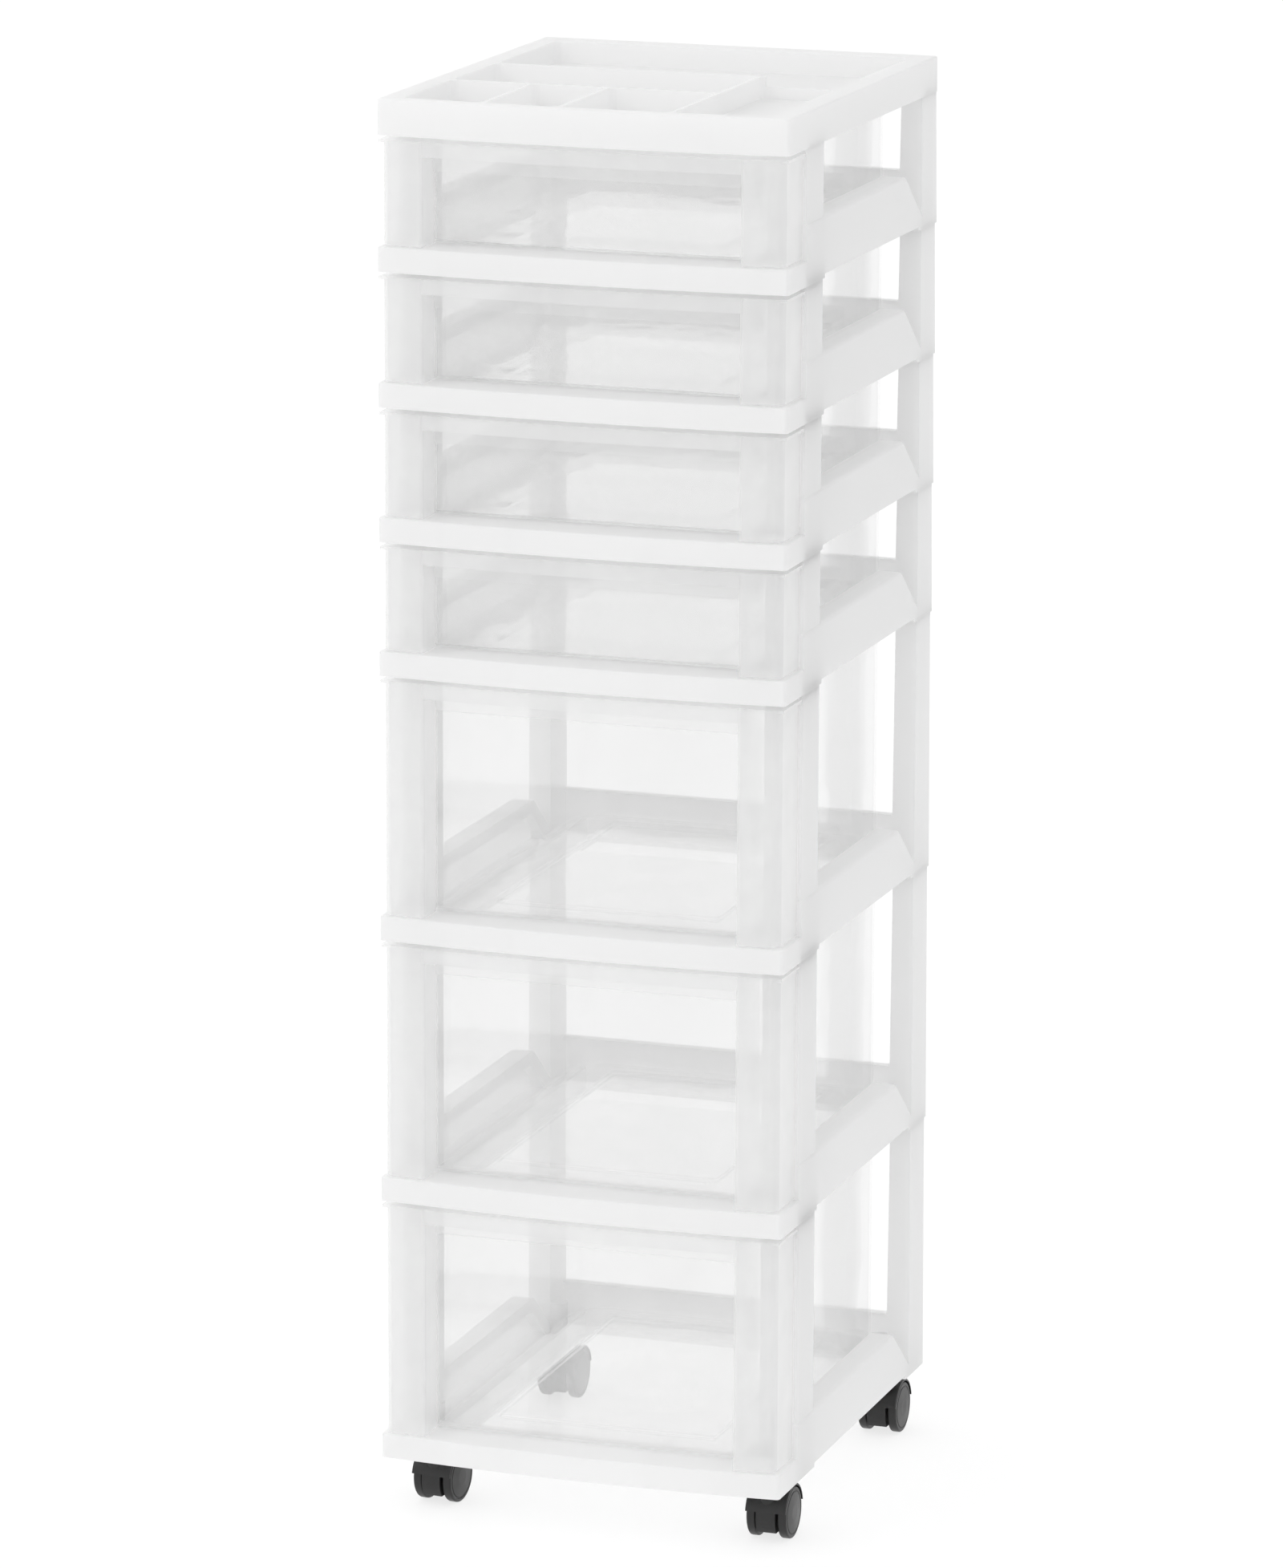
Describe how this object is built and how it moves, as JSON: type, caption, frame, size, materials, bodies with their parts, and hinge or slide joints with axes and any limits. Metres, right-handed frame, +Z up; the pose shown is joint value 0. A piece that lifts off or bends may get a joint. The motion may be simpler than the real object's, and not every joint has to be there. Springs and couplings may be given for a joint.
{
  "type": "drawer tower",
  "caption": "Tall rolling drawer tower: white stacked frames with clear pull-out drawers, shallow over deep, an organizer tray on top and twin-wheel swivel casters.",
  "frame": {"origin": "on the floor, under the middle of the tower's outline", "axes": "+Z up, -Y the way the drawers pull out, +X to the right seen from the front"},
  "size_m": [0.306, 0.362, 1.0495],
  "materials": {
    "white_plastic": "satin moulded white polypropylene",
    "clear_plastic": "clear moulding, frosted on the front pillars",
    "black_plastic": "satin black",
    "steel": "plated"
  },
  "bodies": {
    "stand": {"organizer_tray": "white_plastic", "tier_frame_1": "white_plastic", "tier_frame_2": "white_plastic", "tier_frame_3": "white_plastic", "tier_frame_4": "white_plastic", "tier_frame_5": "white_plastic", "tier_frame_6": "white_plastic", "base_frame": "white_plastic", "front_left_caster_stem": "steel", "front_left_caster_grip_ring": "steel", "front_right_caster_stem": "steel", "front_right_caster_grip_ring": "steel", "back_left_caster_stem": "steel", "back_left_caster_grip_ring": "steel", "back_right_caster_stem": "steel", "back_right_caster_grip_ring": "steel"},
    "drawer_1": {"drawer_1": "clear_plastic"},
    "drawer_2": {"drawer_2": "clear_plastic"},
    "drawer_3": {"drawer_3": "clear_plastic"},
    "drawer_4": {"drawer_4": "clear_plastic"},
    "drawer_5": {"drawer_5": "clear_plastic"},
    "drawer_6": {"drawer_6": "clear_plastic"},
    "drawer_7": {"drawer_7": "clear_plastic"},
    "front_left_caster": {"front_left_caster_housing": "black_plastic", "front_left_caster_axle": "steel"},
    "front_left_wheel_left": {"front_left_wheel_left": "black_plastic"},
    "front_left_wheel_right": {"front_left_wheel_right": "black_plastic"},
    "front_right_caster": {"front_right_caster_housing": "black_plastic", "front_right_caster_axle": "steel"},
    "front_right_wheel_left": {"front_right_wheel_left": "black_plastic"},
    "front_right_wheel_right": {"front_right_wheel_right": "black_plastic"},
    "back_left_caster": {"back_left_caster_housing": "black_plastic", "back_left_caster_axle": "steel"},
    "back_left_wheel_left": {"back_left_wheel_left": "black_plastic"},
    "back_left_wheel_right": {"back_left_wheel_right": "black_plastic"},
    "back_right_caster": {"back_right_caster_housing": "black_plastic", "back_right_caster_axle": "steel"},
    "back_right_wheel_left": {"back_right_wheel_left": "black_plastic"},
    "back_right_wheel_right": {"back_right_wheel_right": "black_plastic"}
  },
  "joints": [
    {"name": "drawer_1_slide", "type": "slide", "parent": "stand", "child": "drawer_1", "axis": [0, -1, 0], "range_m": [0, 0.26]},
    {"name": "drawer_2_slide", "type": "slide", "parent": "stand", "child": "drawer_2", "axis": [0, -1, 0], "range_m": [0, 0.26]},
    {"name": "drawer_3_slide", "type": "slide", "parent": "stand", "child": "drawer_3", "axis": [0, -1, 0], "range_m": [0, 0.26]},
    {"name": "drawer_4_slide", "type": "slide", "parent": "stand", "child": "drawer_4", "axis": [0, -1, 0], "range_m": [0, 0.26]},
    {"name": "drawer_5_slide", "type": "slide", "parent": "stand", "child": "drawer_5", "axis": [0, -1, 0], "range_m": [0, 0.26]},
    {"name": "drawer_6_slide", "type": "slide", "parent": "stand", "child": "drawer_6", "axis": [0, -1, 0], "range_m": [0, 0.26]},
    {"name": "drawer_7_slide", "type": "slide", "parent": "stand", "child": "drawer_7", "axis": [0, -1, 0], "range_m": [0, 0.26]},
    {"name": "front_left_caster_swivel", "type": "hinge", "parent": "stand", "child": "front_left_caster", "pos_m": [-0.1293, -0.124, 0.0455], "axis": [0, 0, 1], "continuous": true},
    {"name": "front_left_wheel_left_spin", "type": "hinge", "parent": "front_left_caster", "child": "front_left_wheel_left", "pos_m": [-0.12805, -0.11207, 0.0192], "axis": [0.9945, -0.1045, 0], "continuous": true},
    {"name": "front_left_wheel_right_spin", "type": "hinge", "parent": "front_left_caster", "child": "front_left_wheel_right", "pos_m": [-0.12805, -0.11207, 0.0192], "axis": [0.9945, -0.1045, 0], "continuous": true},
    {"name": "front_right_caster_swivel", "type": "hinge", "parent": "stand", "child": "front_right_caster", "pos_m": [0.1293, -0.124, 0.0455], "axis": [0, 0, 1], "continuous": true},
    {"name": "front_right_wheel_left_spin", "type": "hinge", "parent": "front_right_caster", "child": "front_right_wheel_left", "pos_m": [0.1293, -0.112, 0.0192], "axis": [1, 0, 0], "continuous": true},
    {"name": "front_right_wheel_right_spin", "type": "hinge", "parent": "front_right_caster", "child": "front_right_wheel_right", "pos_m": [0.1293, -0.112, 0.0192], "axis": [1, 0, 0], "continuous": true},
    {"name": "back_left_caster_swivel", "type": "hinge", "parent": "stand", "child": "back_left_caster", "pos_m": [-0.1293, 0.147, 0.0455], "axis": [0, 0, 1], "continuous": true},
    {"name": "back_left_wheel_left_spin", "type": "hinge", "parent": "back_left_caster", "child": "back_left_wheel_left", "pos_m": [-0.1293, 0.159, 0.0192], "axis": [1, 0, 0], "continuous": true},
    {"name": "back_left_wheel_right_spin", "type": "hinge", "parent": "back_left_caster", "child": "back_left_wheel_right", "pos_m": [-0.1293, 0.159, 0.0192], "axis": [1, 0, 0], "continuous": true},
    {"name": "back_right_caster_swivel", "type": "hinge", "parent": "stand", "child": "back_right_caster", "pos_m": [0.1293, 0.147, 0.0455], "axis": [0, 0, 1], "continuous": true},
    {"name": "back_right_wheel_left_spin", "type": "hinge", "parent": "back_right_caster", "child": "back_right_wheel_left", "pos_m": [0.1293, 0.159, 0.0192], "axis": [1, 0, 0], "continuous": true},
    {"name": "back_right_wheel_right_spin", "type": "hinge", "parent": "back_right_caster", "child": "back_right_wheel_right", "pos_m": [0.1293, 0.159, 0.0192], "axis": [1, 0, 0], "continuous": true}
  ]
}
